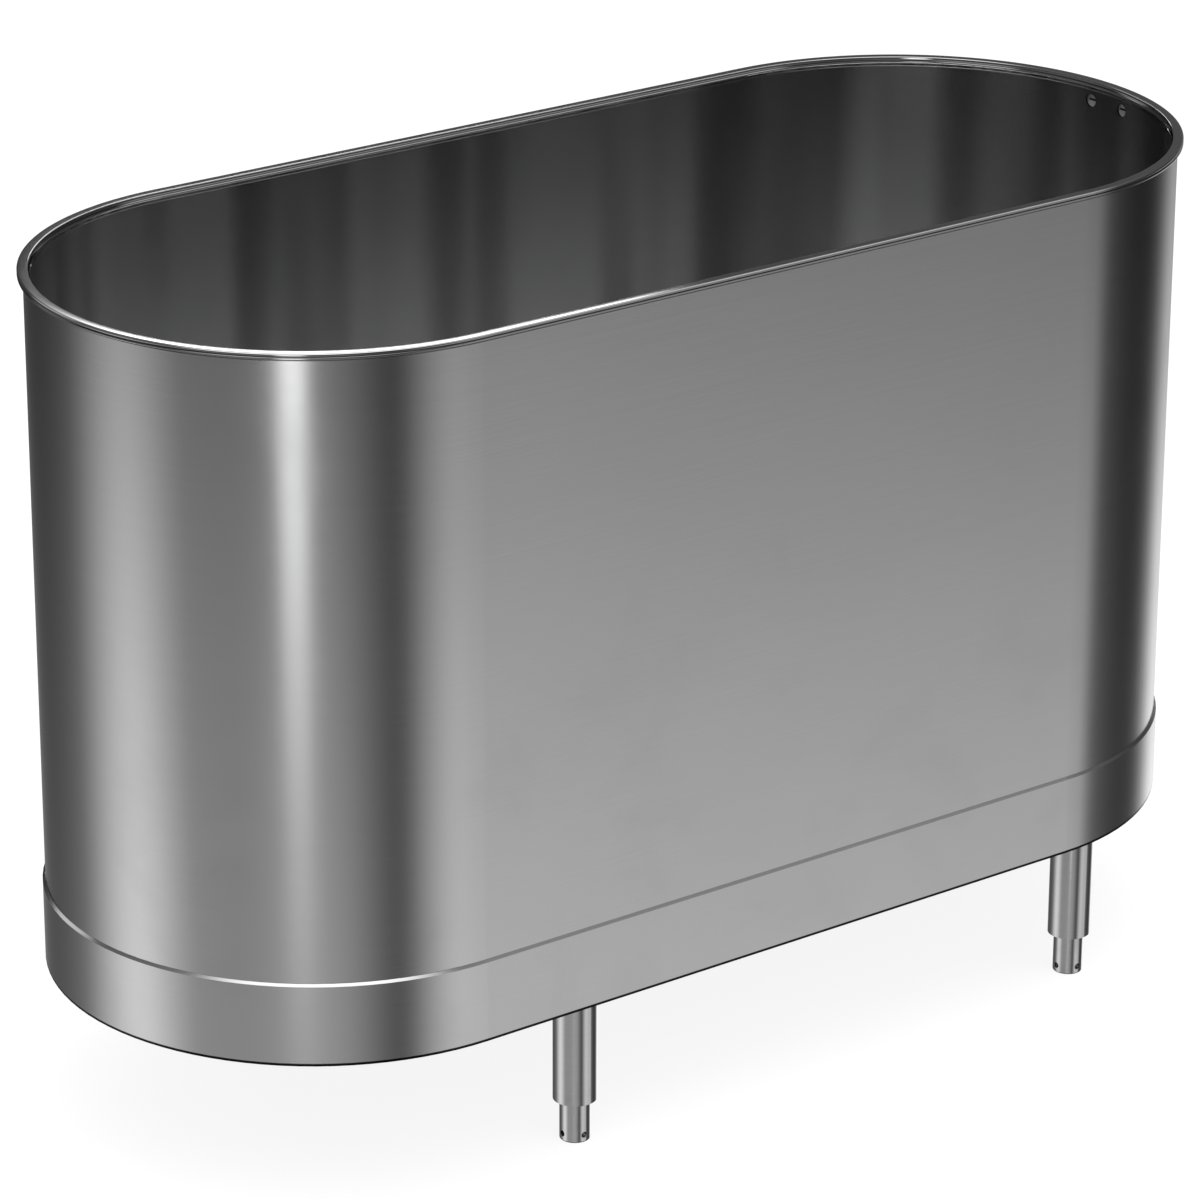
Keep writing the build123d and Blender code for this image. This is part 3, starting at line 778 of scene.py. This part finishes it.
plugs = [slotted_plug(side) for side in (1, -1)]
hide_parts("port_plugs")

# The fillet welds round the two bosses, rippled as the torch moved.
weld_finish = metal(
    "weld_steel", (0.56, 0.54, 0.51), 0.27, (200.0, 200.0, 200.0),
    size=70.0, cover=0.9, dulling=0.12, grain=0.1, swing=0.25, relief=0.05,
)
bead_radius = 0.0016
bead_sides = 8
bead_points = 264
ripples = 44
off_boss = 0.0004        # the bead's middle stands off the boss
off_sheet = 0.0003       # and off the wall


def boss_weld(name, side):
    """Rippled bead in the corner between a boss and the outside of the wall."""
    mesh = bmesh.new()
    rows = []
    for k in range(bead_points):
        turned = 2 * math.pi * k / bead_points
        out = Vector((0.0, math.cos(turned), math.sin(turned)))
        spot = Vector((0.0, side * port_y, port_level)) + out * (boss_radius + off_boss)
        spot.x = straight + math.sqrt(wall_high.y**2 - spot.y**2) + off_sheet
        from_wall = Vector((spot.x - straight, spot.y, 0.0)).normalized()
        radius = bead_radius * (0.78 + 0.22 * abs(math.sin(math.pi * ripples * k / bead_points)))
        ring = []
        for m in range(bead_sides):
            a = 2 * math.pi * m / bead_sides
            turned_out = out * math.cos(a) + from_wall * math.sin(a)
            ring.append(mesh.verts.new(spot + turned_out * radius))
        rows.append(ring)
    for row, following in zip(rows, rows[1:] + rows[:1]):
        for m in range(bead_sides):
            n = (m + 1) % bead_sides
            mesh.faces.new((row[m], row[n], following[n], following[m]))
    smooth_piece(name, mesh, weld_finish, "tank")


boss_low, boss_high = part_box("port_bosses")
boss_radius = (boss_high.z - boss_low.z) / 2
boss_weld("left_boss_weld", 1)
boss_weld("right_boss_weld", -1)


# --- Outlet: pipe, butterfly valve, lever and cap -------------------------------------------
# A bright drawn elbow under the sump, two machined valve halves bolted on a rubber seat, a
# pressed lever on the spindle, and a turned blank cap that screws over the outlet's thread.

outlet_finish = metal(
    "outlet_steel", (0.62, 0.62, 0.62), 0.20, (500.0, 60.0, 60.0),
    size=30.0, dulling=0.08, grain=0.1, swing=0.16, relief=0.05,
)
wear(outlet_finish, 0.0010, (0.76, 0.76, 0.76))
give(outlet_finish, "outlet_pipe", "valve_inlet_half", "valve_outlet_half")
give(turned_finish, "valve_disc")
lever_finish = metal(
    "lever_steel", (0.58, 0.58, 0.58), 0.25, (40.0, 8.0, 500.0),
    size=45.0, cover=0.7, dulling=0.12, grain=0.1, swing=0.18, relief=0.04,
)
wear(lever_finish, 0.0010, (0.74, 0.74, 0.74))
give(lever_finish, "valve_lever")
cap_finish = metal(
    "cap_steel", (0.64, 0.64, 0.64), 0.18, (900.0, 40.0, 40.0),
    size=35.0, dulling=0.1, grain=0.09, swing=0.16, relief=0.05,
)
wear(cap_finish, 0.0012, (0.78, 0.78, 0.78))
give(cap_finish, "outlet_cap")


# --- Rubber: valve seat, cap gasket and line grommets ---------------------------------------
# Moulded dark food-grade rubber, matt with a little bloom and dust in its skin. The seat is
# held between the valve's halves, and the grommets are pushed into the bottom plate.

def matt(name, dark, light, roughness, scale, relief, depth):
    """A matt, uneven material, mixed from two colours by a fine noise."""
    made, tree, shader = new_finish(name)
    look = {"Vector": object_place(tree), "Scale": scale, "Detail": 6.0, "Roughness": 0.65}
    fine = add(tree, "ShaderNodeTexNoise", look)
    mask = spread(tree, fine.outputs["Fac"], 0.35, 0.65)
    tree.links.new(mixed(tree, mask, (*dark, 1.0), (*light, 1.0)), shader.inputs["Base Color"])
    tree.links.new(sum_of(tree, "MULTIPLY_ADD", mask, 0.15, roughness), shader.inputs["Roughness"])
    raised = {"Height": fine.outputs["Fac"], "Strength": relief, "Distance": depth}
    bump = add(tree, "ShaderNodeBump", raised)
    tree.links.new(bump.outputs["Normal"], shader.inputs["Normal"])
    return made


rubber_finish = matt(
    "seal_rubber", (0.018, 0.018, 0.019), (0.035, 0.035, 0.036), 0.55, 220.0, 0.2, 0.0003
)
give(rubber_finish, "line_grommets", "cap_gasket", "valve_seat")


# --- Foam -----------------------------------------------------------------------------------
# Rigid yellowish foam with fine closed cells, poured into the base between the cooling plate
# and the bottom plate.

foam_finish = matt("foam", (0.62, 0.50, 0.27), (0.80, 0.70, 0.45), 0.8, 260.0, 0.6, 0.001)
give(foam_finish, "floor_insulation")


# --- Refrigerant lines ----------------------------------------------------------------------
# Two soft-drawn copper stubs through the bottom plate, browned by handling. Brass caps close
# them until the cooling unit is joined on.

copper_finish = metal(
    "copper_line", (0.78, 0.36, 0.20), 0.26, (60.0, 60.0, 12.0),
    size=60.0, cover=0.9, dulling=0.25, grain=0.1, swing=0.5, relief=0.04,
)
give(copper_finish, "suction_line", "liquid_line")
brass_finish = metal(
    "brass_cap", (0.76, 0.58, 0.28), 0.24, (60.0, 60.0, 900.0),
    size=80.0, cover=0.7, dulling=0.18, grain=0.1, swing=0.3, relief=0.05,
)
wear(brass_finish, 0.0006, (0.86, 0.70, 0.40))
give(brass_finish, "line_caps")
